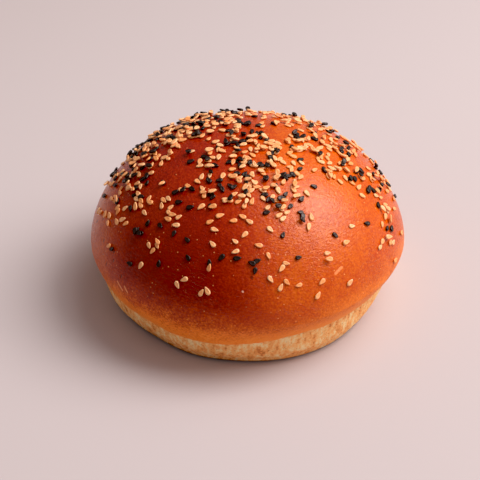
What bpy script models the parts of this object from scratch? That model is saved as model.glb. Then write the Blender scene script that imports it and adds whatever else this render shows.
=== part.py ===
"""A glazed burger bun, sprinkled with pale and black sesame seeds.

The bun is one piece of bread: a browned, glazed dome, whose crust ends in a low rim over a pale,
unglazed band, and a flat underside. The seeds are baked on, so they are fused to the bread.

Units are metres, +Z is up and the origin is the centre of the flat underside. The side that faces
-Y is the front.
"""

import math
import random

import bmesh
import bpy
from mathutils import Matrix, Vector

MM = 0.001

# Driving dimensions of the bread
BUN_RADIUS = 57.0 * MM
BUN_HEIGHT = 61.6 * MM
BELLY_HEIGHT = 22.0 * MM  # the widest ring
DOME_ROUNDNESS = 2.23  # how square the dome's shoulders are: 2 is an ellipse
DOME_POINT = 1.66  # how full the crown is: 2 is an ellipse, and less is pointed
CRUST_RIM_HEIGHT = 14.2 * MM  # the browned crust ends here
CRUST_RIM_RADIUS = 54.2 * MM
UNDERCUT_BEND = 1.25  # how late the crust turns in below the belly: 1 is a straight slope
CREASE_DEPTH = 0.35 * MM  # the step from the crust's rim in to the pale band
CREASE_DROP = 0.8 * MM
BAND_BULGE = 1.2 * MM  # how far the pale band swells past a straight line
BAND_BULGE_LOW = 1.6  # above 1, the band swells most below its middle
HEEL_RADIUS = 2.4 * MM  # the round between the band and the underside
FOOT_RADIUS = 46.7 * MM  # the flat underside

# The bread isn't quite round: (waves round the bun, share of the radius, degrees)
GIRTH_WAVES = ((2, 0.0060, 25.0), (3, 0.0050, 20.0), (5, 0.0022, 200.0))
GIRTH_WAVES_AT_FOOT = 0.35  # the share of them that is left at the foot
# Where the foot is tucked in, below the belly: (degrees, spread in degrees, share of the radius)
FOOT_TUCKS = ((-18.0, 26.0, 0.042), (-95.0, 18.0, 0.018), (-132.0, 16.0, 0.030))
# Soft swells of the dome: (x, y, spread, height) in millimetres
DOME_SWELLS = (
    (-30.0, 6.0, 17.0, 0.9),
    (26.0, -22.0, 15.0, 0.6),
    (4.0, 32.0, 18.0, -0.7),
    (-6.0, -30.0, 13.0, -0.4),
)
# The crust's rim rises and falls: (waves round the bun, millimetres, degrees)
RIM_WAVES = ((1, 0.8, -20.0), (3, 1.3, -50.0), (7, 0.3, 130.0))
RIM_WAVE_SPREAD = 5.0 * MM  # they fade out this far above and below the rim

# Driving dimensions of a seed
SEED_LENGTH = 2.95 * MM
SEED_WIDTH = 1.85 * MM
SEED_THICKNESS = 1.0 * MM
SEED_TAPER = 0.26  # how much wider the blunt end is than the middle
SEED_SIZES = (0.88, 1.12)
STACKED_WITHIN = 1.45 * MM  # a seed that lands this near another lies on top of it
SPRINKLE_REACH = 54.0  # millimetres from the axis

# Where the sprinkle fell: (x, y, spread in x, spread in y) in millimetres, seeds, share of black ones
CLUMPS = (
    (0.0, 20.0, 27.0, 20.0, 300, 0.26),
    (-35.0, 10.0, 9.0, 9.0, 125, 0.36),
    (-41.0, -6.0, 6.0, 7.0, 56, 0.28),
    (-20.0, 13.0, 8.0, 6.0, 56, 0.28),
    (-8.0, 24.0, 7.0, 6.0, 38, 0.30),
    (-25.0, 29.0, 9.0, 8.0, 42, 0.42),
    (3.0, -1.0, 7.0, 6.0, 42, 0.36),
    (5.0, -17.0, 7.5, 5.5, 70, 0.26),
    (3.0, -27.0, 10.0, 5.0, 34, 0.28),
    (15.0, -31.0, 5.0, 4.0, 18, 0.14),
    (-14.0, -9.0, 9.0, 6.0, 36, 0.42),
    (-26.0, -27.0, 12.0, 8.0, 60, 0.38),
    (17.0, -9.0, 6.0, 6.0, 16, 0.40),
    (30.0, 3.0, 7.0, 8.0, 58, 0.24),
    (38.0, -9.0, 6.0, 4.0, 20, 0.20),
    (47.0, 4.0, 4.0, 9.0, 48, 0.18),
    (33.0, 24.0, 10.0, 8.0, 50, 0.12),
)
# Bare crust between the clumps: (x, y, radius) in millimetres
BARE_SPOTS = (
    (-26.0, -11.0, 4.5),
    (11.0, 9.0, 4.0),
    (-18.0, 0.5, 4.0),
    (31.0, -23.0, 8.0),
    (1.0, 19.0, 4.0),
    (43.0, 10.0, 3.5),
)
# Seeds that lie alone, below the sprinkle: (x, y) in millimetres and the tip's heading in degrees
PALE_STRAYS = (
    (-23.8, -47.4, 265), (-15.5, -51.0, 60), (-13.5, -51.1, 95), (-11.8, -41.0, 120), (-4.0, -43.8, 205),
    (3.9, -42.2, 165), (7.3, -44.7, 290), (8.0, -49.8, 300), (11.5, -50.9, 85), (11.8, -47.1, 250),
    (13.4, -45.7, 350), (13.6, -49.6, 310), (17.8, -49.3, 210), (24.5, -49.0, 95), (25.9, -46.2, 250),
    (27.9, -39.3, 15), (28.0, -40.7, 185), (34.6, -33.2, 30), (36.0, -41.4, 95), (-36.6, -37.7, 220),
    (-33.8, -34.4, 265), (-30.9, -35.9, 270), (47.6, -22.9, 265), (46.9, -25.1, 75), (36.7, -27.2, 15),
    (50.7, -19.3, 95), (51.8, -17.7, 100), (52.7, -20.6, 80), (55.1, -8.3, 85), (48.8, -12.8, 280),
    (50.6, -11.9, 250), (48.9, -7.5, 30),
)
BLACK_STRAYS = (
    (-30.2, -40.6, 60), (-40.6, -34.6, 140), (-20.1, -42.8, 100), (-12.8, -45.5, 85), (-8.7, -44.9, 230),
    (-3.3, -45.5, 10), (1.6, -46.7, 150), (3.5, -46.1, 30), (2.7, -48.4, 265), (17.7, -43.5, 20),
    (30.7, -33.3, 330), (49.5, -16.3, 100), (51.1, -14.2, 110), (46.2, -11.0, 120),
)
SPRINKLE_SEED = 11

# How finely the solids are faceted
ROUND_STEPS = 48
DOME_RINGS = 13
LOWER_CRUST_RINGS = 3
BAND_RINGS = 2
HEEL_RINGS = 3
FUSED_SEEDS = 292  # the rest of the sprinkle is too fine for the solid
SEED_SIDES = 6
SEED_RINGS = 3  # two rings of six corners between the poles, so the sides stand upright
FUSED_GAP = 2.3 * MM  # fused seeds stay this far apart
FUSED_SUNK = 0.42  # share of a fused seed's thickness that lies in the bread
LEVEL = 0.01 * MM  # what is lower than this is the flat underside
SLOPE_STEP = 0.2 * MM  # the skin's slope is measured over this distance each way
SHARP_EDGE = 50.0  # degrees

CRUST_BROWN = (0.42, 0.11, 0.022, 1.0)
GLAZE_ROUGHNESS = 0.38


def waves(table, angle):
    """The sum of a table's waves at this angle round the bun."""
    return sum(size * math.cos(count * (angle - math.radians(turn))) for count, size, turn in table)


def foot_tuck(angle):
    """The share of its radius that the foot is tucked in by at this angle round the bun."""
    total = 0.0
    for turn, spread, share in FOOT_TUCKS:
        far = math.remainder(angle - math.radians(turn), 2.0 * math.pi) / math.radians(spread)
        total += share * math.exp(-far * far)
    return total


def swell(x, y):
    """How far the dome stands above its turned shape at this place, in metres."""
    total = 0.0
    for centre_x, centre_y, spread, height in DOME_SWELLS:
        far = math.hypot(x / MM - centre_x, y / MM - centre_y) / spread
        total += height * MM * math.exp(-far * far)
    return total


def dome_height(share):
    """The height of the dome where the plan radius is this share of the belly's."""
    rise = (1.0 - min(share, 1.0) ** DOME_ROUNDNESS) ** (1.0 / DOME_POINT)
    return BELLY_HEIGHT + (BUN_HEIGHT - BELLY_HEIGHT) * rise


def misshapen(point):
    """A point of the turned bun, moved to where the real, uneven bread has it."""
    angle = math.atan2(point.y, point.x)
    height = point.z
    share = min(height / BELLY_HEIGHT, 1.0)
    uneven = GIRTH_WAVES_AT_FOOT + (1.0 - GIRTH_WAVES_AT_FOOT) * share
    grow = 1.0 + waves(GIRTH_WAVES, angle) * uneven - foot_tuck(angle) * (1.0 - share**2) ** 2
    x, y = point.x * grow, point.y * grow
    above_belly = max(0.0, (height - BELLY_HEIGHT) / (BUN_HEIGHT - BELLY_HEIGHT))
    near_rim = math.exp(-(((height - CRUST_RIM_HEIGHT) / RIM_WAVE_SPREAD) ** 2))
    rise = swell(x, y) * above_belly + waves(RIM_WAVES, angle) * MM * near_rim
    return Vector((x, y, 0.0 if height < LEVEL else height + rise))


def on_dome(x, y):
    """The point of the uneven bread's skin that this place of the turned dome moves to."""
    return misshapen(Vector((x, y, dome_height(math.hypot(x, y) / BUN_RADIUS))))


def skin(x, y):
    """The point and the outward normal of the dome at this place."""
    along_x = on_dome(x + SLOPE_STEP, y) - on_dome(x - SLOPE_STEP, y)
    along_y = on_dome(x, y + SLOPE_STEP) - on_dome(x, y - SLOPE_STEP)
    return on_dome(x, y), along_x.cross(along_y).normalized()


def shares(rings):
    """The share of the way that each ring of a stretch is at, the last one at its end."""
    return [ring / rings for ring in range(1, rings + 1)]


def dome_outline():
    """From below the crown to the belly."""
    points = []
    for down in shares(DOME_RINGS):
        share = math.sin(0.5 * math.pi * down) ** (2.0 / DOME_ROUNDNESS)
        points.append(Vector((BUN_RADIUS * share, 0.0, dome_height(share))))
    return points


def lower_crust_outline():
    """From below the belly to the crust's rim."""
    points = []
    for down in shares(LOWER_CRUST_RINGS):
        tuck = (BUN_RADIUS - CRUST_RIM_RADIUS) * down**UNDERCUT_BEND
        drop = (BELLY_HEIGHT - CRUST_RIM_HEIGHT) * down
        points.append(Vector((BUN_RADIUS - tuck, 0.0, BELLY_HEIGHT - drop)))
    return points


def band_outline():
    """From the crease under the rim down the pale band, round the heel to the edge of the underside."""
    crease = Vector((CRUST_RIM_RADIUS - CREASE_DEPTH, 0.0, CRUST_RIM_HEIGHT - CREASE_DROP))
    heel_centre = Vector((FOOT_RADIUS, 0.0, HEEL_RADIUS))
    heel_top = heel_centre + Vector((HEEL_RADIUS, 0.0, 0.0))
    points = [crease]
    for down in shares(BAND_RINGS):
        bulge = Vector((BAND_BULGE * math.sin(math.pi * down**BAND_BULGE_LOW), 0.0, 0.0))
        points.append(crease.lerp(heel_top, down) + bulge)
    for down in shares(HEEL_RINGS):
        angle = 0.5 * math.pi * down
        points.append(heel_centre + HEEL_RADIUS * Vector((math.cos(angle), 0.0, -math.sin(angle))))
    return points


def bun_profile():
    """The turned outline, from the crown down the outer side to the middle of the underside."""
    crown = Vector((0.0, 0.0, BUN_HEIGHT))
    foot_middle = Vector((0.0, 0.0, 0.0))
    return [crown, *dome_outline(), *lower_crust_outline(), *band_outline(), foot_middle]


def evaluated_mesh(thing, name):
    """A plain mesh of the object as its modifiers leave it."""
    bpy.context.view_layer.update()
    seen = thing.evaluated_get(bpy.context.evaluated_depsgraph_get())
    mesh = bpy.data.meshes.new_from_object(seen)
    mesh.name = name
    return mesh


def turned_bread(collection):
    """The bread without seeds: a profile turned about the axis, then made as uneven as the real one."""
    profile = bpy.data.meshes.new("bun_profile")
    points = bun_profile()
    profile.from_pydata(points, [(i, i + 1) for i in range(len(points) - 1)], [])
    bread = bpy.data.objects.new("bun", profile)
    collection.objects.link(bread)
    turn = bread.modifiers.new("turn", "SCREW")
    turn.steps = turn.render_steps = ROUND_STEPS
    turn.use_merge_vertices = True
    turn.merge_threshold = 0.00001
    mesh = evaluated_mesh(bread, "bun")
    bread.modifiers.remove(turn)
    bread.data = mesh
    bpy.data.meshes.remove(profile)
    shape = bmesh.new()
    shape.from_mesh(mesh)
    for vert in shape.verts:
        vert.co = misshapen(vert.co)
    bmesh.ops.recalc_face_normals(shape, faces=shape.faces)
    bmesh.ops.triangulate(shape, faces=shape.faces)
    shape.to_mesh(mesh)
    shape.free()
    return bread


def is_bare(x, y):
    """Whether the sprinkle missed this place, in millimetres."""
    outside = math.hypot(x, y) > SPRINKLE_REACH
    return outside or any(math.hypot(x - bx, y - by) < radius for bx, by, radius in BARE_SPOTS)


def sprinkled():
    """Every seed as (x, y, heading, size, is black, layer), the strays first and then the sprinkle."""
    draw = random.Random(SPRINKLE_SEED)
    low, high = SEED_SIZES
    seeds = []
    for strays, black in ((PALE_STRAYS, False), (BLACK_STRAYS, True)):
        for x, y, heading in strays:
            seeds.append((x * MM, y * MM, math.radians(heading), draw.uniform(low, high), black))
    fallen = []
    for number, (centre_x, centre_y, spread_x, spread_y, count, black_share) in enumerate(CLUMPS):
        draw = random.Random(SPRINKLE_SEED + number)
        for _ in range(count):
            x = draw.gauss(centre_x, spread_x)
            y = draw.gauss(centre_y, spread_y)
            heading = draw.uniform(0.0, 2.0 * math.pi)
            size = draw.uniform(low, high)
            black = draw.random() < black_share
            if not is_bare(x, y):
                fallen.append((x * MM, y * MM, heading, size, black))
    draw.shuffle(fallen)
    layered = []
    for seed in seeds + fallen:
        below = [other[5] for other in layered if math.dist(seed[:2], other[:2]) < STACKED_WITHIN]
        layered.append((*seed, 1 + max(below) if below else 0))
    return [seed for seed in layered if seed[5] < 2]


def seed_matrix(x, y, heading, size):
    """Where a seed lies: flat on the skin, its tip along its heading, its underside sunk in the glaze."""
    point, normal = skin(x, y)
    tip = Vector((math.cos(heading), math.sin(heading), 0.0))
    tip = (tip - tip.dot(normal) * normal).normalized()
    side = normal.cross(tip)
    turn = Matrix((tip, side, normal)).transposed().to_4x4()
    middle = point + normal * SEED_THICKNESS * size * (0.5 - FUSED_SUNK)
    return Matrix.Translation(middle) @ turn @ Matrix.Scale(size, 4)


def coarse_seed():
    """The mesh of one seed, a flat teardrop about its own middle with its tip along +X."""
    shape = bmesh.new()
    bmesh.ops.create_uvsphere(shape, u_segments=SEED_SIDES, v_segments=SEED_RINGS, radius=0.5)
    widest = math.sin(math.pi / SEED_RINGS)  # the two rings' radius, as a share of the ball's
    for vert in shape.verts:
        along = vert.co.x / widest
        vert.co.x = along * SEED_LENGTH
        vert.co.y *= SEED_WIDTH / widest * (1.0 - 2.0 * SEED_TAPER * along)
        vert.co.z *= SEED_THICKNESS
    mesh = bpy.data.meshes.new("seed")
    shape.to_mesh(mesh)
    shape.free()
    return mesh


def fused_seeds(collection):
    """Loose seed objects for the union: those that lie on the bread itself, each clear of the others."""
    mesh = coarse_seed()
    kept = []
    for x, y, heading, size, _, layer in sprinkled():
        clear = all(math.dist((x, y), other) > FUSED_GAP for other in kept)
        if layer == 0 and clear and len(kept) < FUSED_SEEDS:
            kept.append((x, y))
            seed = bpy.data.objects.new(f"seed_{len(kept):03d}", mesh)
            seed.matrix_world = seed_matrix(x, y, heading, size)
            collection.objects.link(seed)


def fuse(bread, collection):
    """Joins every seed to the bread in one union, and removes the loose ones."""
    union = bread.modifiers.new("fuse seeds", "BOOLEAN")
    union.operation = "UNION"
    union.operand_type = "COLLECTION"
    union.collection = collection
    union.solver = "EXACT"
    mesh = evaluated_mesh(bread, "bun")
    bread.modifiers.remove(union)
    bread.data = mesh
    for seed in list(collection.objects):
        bpy.data.objects.remove(seed)
    bpy.data.collections.remove(collection)


def crust_material():
    """Browned, glazed crust."""
    material = bpy.data.materials.new("crust")
    material.use_nodes = True
    surface = material.node_tree.nodes["Principled BSDF"]
    surface.inputs["Base Color"].default_value = CRUST_BROWN
    surface.inputs["Roughness"].default_value = GLAZE_ROUGHNESS
    surface.inputs["Metallic"].default_value = 0.0
    material.diffuse_color = CRUST_BROWN
    return material


def main():
    for thing in list(bpy.data.objects):
        bpy.data.objects.remove(thing)
    food = bpy.data.collections.new("burger_bun")
    loose = bpy.data.collections.new("loose_seeds")
    bpy.context.scene.collection.children.link(food)
    bpy.context.scene.collection.children.link(loose)
    bread = turned_bread(food)
    fused_seeds(loose)
    fuse(bread, loose)
    bread.data.materials.clear()
    bread.data.materials.append(crust_material())
    bread.data.shade_smooth()
    bread.data.set_sharp_from_angle(angle=math.radians(SHARP_EDGE))


main()
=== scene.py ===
# %% [markdown]
# A glazed burger bun, sprinkled with pale and black sesame.
#
# A plain solid of the bun, with coarse seeds fused to it, comes first. This lesson hides it and
# builds the looks in its place: a finely turned crust with the relief of real bread, two kinds of
# seeds laid on it one by one, and finishes. The last cells set up a pale studio and a camera.

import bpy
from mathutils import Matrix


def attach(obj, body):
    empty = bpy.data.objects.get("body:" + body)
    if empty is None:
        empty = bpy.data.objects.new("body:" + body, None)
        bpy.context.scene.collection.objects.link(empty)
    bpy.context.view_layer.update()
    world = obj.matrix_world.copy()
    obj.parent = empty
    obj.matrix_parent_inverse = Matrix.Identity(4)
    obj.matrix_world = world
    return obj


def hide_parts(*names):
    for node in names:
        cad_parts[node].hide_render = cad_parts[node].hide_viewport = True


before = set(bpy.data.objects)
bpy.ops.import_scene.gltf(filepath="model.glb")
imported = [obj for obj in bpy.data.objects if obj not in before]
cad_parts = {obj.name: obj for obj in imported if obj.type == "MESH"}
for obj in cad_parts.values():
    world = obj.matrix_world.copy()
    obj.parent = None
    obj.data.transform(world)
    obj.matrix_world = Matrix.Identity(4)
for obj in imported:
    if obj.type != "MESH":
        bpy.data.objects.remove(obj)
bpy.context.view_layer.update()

# %% [markdown]
# Blender works in metres, so the sizes below are written in millimetres and turned into metres once.
# They are the same sizes that the solid was made with. If the two ever disagreed, the crust would
# stand off its own seeds.

# %% Sizes of the bread
import math
import random

import bmesh
import bpy
from mathutils import Vector

MM = 0.001
BUN_RADIUS = 57.0 * MM
BUN_HEIGHT = 61.6 * MM
BELLY_HEIGHT = 22.0 * MM
DOME_ROUNDNESS = 2.23
DOME_POINT = 1.66
CRUST_RIM_HEIGHT = 14.2 * MM
CRUST_RIM_RADIUS = 54.2 * MM
UNDERCUT_BEND = 1.25
CREASE_DEPTH = 0.35 * MM
CREASE_DROP = 0.8 * MM
BAND_BULGE = 1.2 * MM
BAND_BULGE_LOW = 1.6  # above 1, the band swells most below its middle
HEEL_RADIUS = 2.4 * MM
FOOT_RADIUS = 46.7 * MM
LEVEL = 0.01 * MM
print("the bread is", 2 * BUN_RADIUS / MM, "mm across and", BUN_HEIGHT / MM, "mm high")

# %% [markdown]
# A baker rounds each piece of dough by hand, so no bun is a true turned shape. Four small rules make
# this one uneven: waves round its girth, a foot that is tucked in here and there, soft swells on the
# dome, and a crust whose rim rises and falls. Waves are sums of cosines, which close on themselves
# all the way round.

# %% How the bread is uneven
GIRTH_WAVES = ((2, 0.0060, 25.0), (3, 0.0050, 20.0), (5, 0.0022, 200.0))
GIRTH_WAVES_AT_FOOT = 0.35
FOOT_TUCKS = ((-18.0, 26.0, 0.042), (-95.0, 18.0, 0.018), (-132.0, 16.0, 0.030))
DOME_SWELLS = (
    (-30.0, 6.0, 17.0, 0.9),
    (26.0, -22.0, 15.0, 0.6),
    (4.0, 32.0, 18.0, -0.7),
    (-6.0, -30.0, 13.0, -0.4),
)
RIM_WAVES = ((1, 0.8, -20.0), (3, 1.3, -50.0), (7, 0.3, 130.0))
RIM_WAVE_SPREAD = 5.0 * MM


def waves(table, angle):
    """The sum of a table's waves at this angle round the bun."""
    return sum(size * math.cos(count * (angle - math.radians(turn))) for count, size, turn in table)


def foot_tuck(angle):
    """The share of its radius that the foot is tucked in by at this angle round the bun."""
    total = 0.0
    for turn, spread, share in FOOT_TUCKS:
        far = math.remainder(angle - math.radians(turn), 2.0 * math.pi) / math.radians(spread)
        total += share * math.exp(-far * far)
    return total


def swell(x, y):
    """How far the dome stands above its turned shape at this place, in metres."""
    total = 0.0
    for centre_x, centre_y, spread, height in DOME_SWELLS:
        far = math.hypot(x / MM - centre_x, y / MM - centre_y) / spread
        total += height * MM * math.exp(-far * far)
    return total


def misshapen(point):
    """A point of the turned bun, moved to where the real, uneven bread has it."""
    angle = math.atan2(point.y, point.x)
    height = point.z
    share = min(height / BELLY_HEIGHT, 1.0)
    uneven = GIRTH_WAVES_AT_FOOT + (1.0 - GIRTH_WAVES_AT_FOOT) * share
    grow = 1.0 + waves(GIRTH_WAVES, angle) * uneven - foot_tuck(angle) * (1.0 - share**2) ** 2
    x, y = point.x * grow, point.y * grow
    above_belly = max(0.0, (height - BELLY_HEIGHT) / (BUN_HEIGHT - BELLY_HEIGHT))
    near_rim = math.exp(-(((height - CRUST_RIM_HEIGHT) / RIM_WAVE_SPREAD) ** 2))
    rise = swell(x, y) * above_belly + waves(RIM_WAVES, angle) * MM * near_rim
    return Vector((x, y, 0.0 if height < LEVEL else height + rise))


for side, angle in (("front", -90), ("right", 0), ("back", 90), ("left", 180)):
    print(side, "rim is", round(waves(RIM_WAVES, math.radians(angle)), 2), "mm off its mean height")

# %% [markdown]
# The outline of the bun has four stretches. The dome is a superellipse: the same formula as an
# ellipse, with exponents that square its shoulders and fill its crown. Below the belly the crust
# turns in, stops at a rim, and leaves a small crease. The pale band below it touched the next bun
# or the tray, so it never browned. It swells low down, and a round heel leads to the flat underside.
#
# The rings lie close together, because the crust's relief can be no finer than the mesh is.

# %% The outline
DOME_RINGS = 104
LOWER_CRUST_RINGS = 16
CREASE_RINGS = 3
BAND_RINGS = 22
HEEL_RINGS = 6
UNDERSIDE_RINGS = 8


def shares(rings):
    """The share of the way that each ring of a stretch is at, the last one at its end."""
    return [ring / rings for ring in range(1, rings + 1)]


def dome_height(share):
    """The height of the dome where the plan radius is this share of the belly's."""
    rise = (1.0 - min(share, 1.0) ** DOME_ROUNDNESS) ** (1.0 / DOME_POINT)
    return BELLY_HEIGHT + (BUN_HEIGHT - BELLY_HEIGHT) * rise


def crust_outline():
    """From below the crown, over the belly, to the crust's rim."""
    points = []
    for down in shares(DOME_RINGS):
        share = math.sin(0.5 * math.pi * down) ** (2.0 / DOME_ROUNDNESS)
        points.append(Vector((BUN_RADIUS * share, 0.0, dome_height(share))))
    for down in shares(LOWER_CRUST_RINGS):
        tuck = (BUN_RADIUS - CRUST_RIM_RADIUS) * down**UNDERCUT_BEND
        drop = (BELLY_HEIGHT - CRUST_RIM_HEIGHT) * down
        points.append(Vector((BUN_RADIUS - tuck, 0.0, BELLY_HEIGHT - drop)))
    return points


def band_outline():
    """From the crust's rim down the pale band and round the heel."""
    rim = Vector((CRUST_RIM_RADIUS, 0.0, CRUST_RIM_HEIGHT))
    crease = rim - Vector((CREASE_DEPTH, 0.0, CREASE_DROP))
    heel_centre = Vector((FOOT_RADIUS, 0.0, HEEL_RADIUS))
    heel_top = heel_centre + Vector((HEEL_RADIUS, 0.0, 0.0))
    points = [rim.lerp(crease, down) for down in shares(CREASE_RINGS)]
    for down in shares(BAND_RINGS):
        bulge = Vector((BAND_BULGE * math.sin(math.pi * down**BAND_BULGE_LOW), 0.0, 0.0))
        points.append(crease.lerp(heel_top, down) + bulge)
    for down in shares(HEEL_RINGS):
        angle = 0.5 * math.pi * down
        points.append(heel_centre + HEEL_RADIUS * Vector((math.cos(angle), 0.0, -math.sin(angle))))
    return points


def bun_outline():
    """The whole outline, from the crown down the outer side to the middle of the underside."""
    crown = Vector((0.0, 0.0, BUN_HEIGHT))
    underside = [Vector((FOOT_RADIUS * (1.0 - inward), 0.0, 0.0)) for inward in shares(UNDERSIDE_RINGS)]
    return [crown, *crust_outline(), *band_outline(), *underside]


print("the outline has", len(bun_outline()), "points")

# %% [markdown]
# The Screw modifier turns the outline about the vertical axis, because one profile is easier to
# change than stacked circles. Each point then moves to its uneven place, and keeps a number of its
# own: how many millimetres it was above the rim. The relief and the finish both read that number,
# so the browning stops exactly where the crust does.

# %% Turn the outline
ROUND_STEPS = 560


def plain_mesh(thing, name):
    """A plain mesh of the object as its modifiers leave it."""
    bpy.context.view_layer.update()
    seen = thing.evaluated_get(bpy.context.evaluated_depsgraph_get())
    mesh = bpy.data.meshes.new_from_object(seen)
    mesh.name = name
    return mesh


def turned(name, outline):
    """A closed object, made by turning the outline about the vertical axis."""
    profile = bpy.data.meshes.new(name + "_profile")
    profile.from_pydata(outline, [(i, i + 1) for i in range(len(outline) - 1)], [])
    thing = bpy.data.objects.new(name, profile)
    bpy.context.scene.collection.objects.link(thing)
    lathe = thing.modifiers.new("lathe", "SCREW")
    lathe.steps = lathe.render_steps = ROUND_STEPS
    lathe.use_merge_vertices = True
    lathe.merge_threshold = 0.01 * MM
    mesh = plain_mesh(thing, name)
    thing.modifiers.remove(lathe)
    thing.data = mesh
    bpy.data.meshes.remove(profile)
    return thing


def make_uneven(thing):
    """Moves each point of the turned bun to its uneven place, and notes its height above the rim."""
    above_rim = thing.data.attributes.new("above_rim", "FLOAT", "POINT")
    for vert, note in zip(thing.data.vertices, above_rim.data):
        note.value = (vert.co.z - CRUST_RIM_HEIGHT) / MM
        vert.co = misshapen(vert.co)


def face_outwards(thing):
    """Points every face outwards and shades the object smooth."""
    shape = bmesh.new()
    shape.from_mesh(thing.data)
    bmesh.ops.recalc_face_normals(shape, faces=shape.faces)
    shape.to_mesh(thing.data)
    shape.free()
    thing.data.shade_smooth()


crust = turned("bun_crust", bun_outline())
make_uneven(crust)
face_outwards(crust)
print("the turned crust has", len(crust.data.polygons), "faces")

# %% [markdown]
# Geometry Nodes and materials are both trees of nodes, and a script can build either with the same
# few helpers. feed() gives a socket a plain number or another node's output.

# %% Helpers for trees of nodes
def feed(tree, socket, source):
    """Gives a socket a link from another socket, or a plain value."""
    if isinstance(source, bpy.types.NodeSocket):
        tree.links.new(source, socket)
    else:
        socket.default_value = source


def add(tree, kind, sources=(), **settings):
    """Adds a node, sets its properties, and feeds its sockets by name or number."""
    made = tree.nodes.new(kind)
    for name, value in settings.items():
        setattr(made, name, value)
    for name, source in dict(sources).items():
        feed(tree, made.inputs[name], source)
    return made


def maths(tree, operation, first, second=0.0):
    """The result of a calculation on two numbers."""
    return add(tree, "ShaderNodeMath", {0: first, 1: second}, operation=operation).outputs[0]


def scaled(tree, value, amount):
    """A number times another."""
    return maths(tree, "MULTIPLY", value, amount)


def total(tree, *parts):
    """The sum of several numbers."""
    result = parts[0]
    for part in parts[1:]:
        result = maths(tree, "ADD", result, part)
    return result


def fade(tree, value, start, end):
    """Goes smoothly from 0 where the value is at start to 1 where it is at end."""
    sources = {"Value": value, "From Min": start, "From Max": end}
    made = add(tree, "ShaderNodeMapRange", sources, interpolation_type="SMOOTHSTEP")
    return made.outputs["Result"]


def noise(tree, where, size, detail=2.0, seed=0.0):
    """Soft random lumps of about this size in metres, from -0.5 to 0.5."""
    scale = maths(tree, "DIVIDE", 1.0, size)
    sources = {"Vector": where, "Scale": scale, "Detail": detail, "W": seed}
    made = add(tree, "ShaderNodeTexNoise", sources, noise_dimensions="4D")
    return maths(tree, "SUBTRACT", made.outputs[0], 0.5)


def axes(tree, where):
    """The X, Y and Z of a place."""
    return add(tree, "ShaderNodeSeparateXYZ", {0: where}).outputs


def vector_maths(tree, operation, first, second=(0.0, 0.0, 0.0)):
    """The result of a calculation on two vectors."""
    made = add(tree, "ShaderNodeVectorMath", {0: first, 1: second}, operation=operation)
    return made.outputs["Value" if operation in ("LENGTH", "DISTANCE", "DOT_PRODUCT") else "Vector"]


def lengthened(tree, vector, amount):
    """A vector times a number."""
    made = add(tree, "ShaderNodeVectorMath", {0: vector, "Scale": amount}, operation="SCALE")
    return made.outputs["Vector"]


def stretched(tree, where, amounts):
    """A place with each axis multiplied, which draws out or squeezes a pattern."""
    return vector_maths(tree, "MULTIPLY", where, amounts)


def named(tree, name, kind="FLOAT"):
    """A number or a direction that each point of the geometry carries."""
    made = add(tree, "GeometryNodeInputNamedAttribute", {"Name": name}, data_type=kind)
    return made.outputs["Attribute"]


def new_tree(name, inputs):
    """A Geometry Nodes tree with named inputs, each a number or the kind of thing that it takes."""
    tree = bpy.data.node_groups.new(name, "GeometryNodeTree")
    tree.interface.new_socket("Geometry", in_out="INPUT", socket_type="NodeSocketGeometry")
    tree.interface.new_socket("Geometry", in_out="OUTPUT", socket_type="NodeSocketGeometry")
    for label, value in inputs.items():
        kind = value if isinstance(value, str) else type(value).__name__.capitalize()
        socket = tree.interface.new_socket(label, in_out="INPUT", socket_type="NodeSocket" + kind)
        if kind != value:
            socket.default_value = value
    return tree, tree.nodes.new("NodeGroupInput").outputs, tree.nodes.new("NodeGroupOutput").inputs


def grow(thing, tree, choices):
    """Runs a Geometry Nodes tree on an object with these inputs, and keeps its result as a mesh."""
    modifier = thing.modifiers.new(tree.name, "NODES")
    modifier.node_group = tree
    for socket in tree.interface.items_tree:
        if socket.in_out == "INPUT" and socket.name in choices:
            modifier[socket.identifier] = choices[socket.name]
    mesh = plain_mesh(thing, thing.name)
    thing.modifiers.remove(modifier)
    thing.data = mesh


print("helpers are ready")

# %% [markdown]
# A finish is a Principled BSDF that reads noise on the bun's own coordinates. colours() is a ramp of
# bread colours, and blended() mixes two. Colours in Blender are linear light, so their numbers look
# darker here than they would in a paint program.

# %% Helpers for finishes
def colours(tree, share, stops):
    """A colour from a ramp, where each stop is (share, colour)."""
    ramp = add(tree, "ShaderNodeValToRGB", {"Fac": share})
    elements = ramp.color_ramp.elements
    for _ in stops[2:]:
        elements.new(1.0)
    for element, (place, colour) in zip(elements, stops):
        element.position = place
        element.color = (*colour, 1.0)
    return ramp.outputs["Color"]


def blended(tree, share, first, second):
    """The first colour where the share is 0, and the second where it is 1."""
    return add(tree, "ShaderNodeMix", {0: share, 6: first, 7: second}, data_type="RGBA").outputs[2]


def new_finish(name):
    """A material, its tree, its Principled BSDF and the place on the object that patterns read."""
    material = bpy.data.materials.new(name)
    material.use_nodes = True
    tree = material.node_tree
    where = tree.nodes.new("ShaderNodeTexCoord").outputs["Object"]
    return material, tree, tree.nodes["Principled BSDF"], where


def own_number(tree, name):
    """A number that each point of the mesh carries."""
    return add(tree, "ShaderNodeAttribute", attribute_name=name).outputs["Fac"]


def bumps(tree, surface, height, depth):
    """Roughens the surface with bumps too fine for the mesh, this deep in metres."""
    sources = {"Height": height, "Distance": depth, "Strength": 1.0}
    tree.links.new(add(tree, "ShaderNodeBump", sources).outputs["Normal"], surface.inputs["Normal"])


print("finishes can be made")

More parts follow.
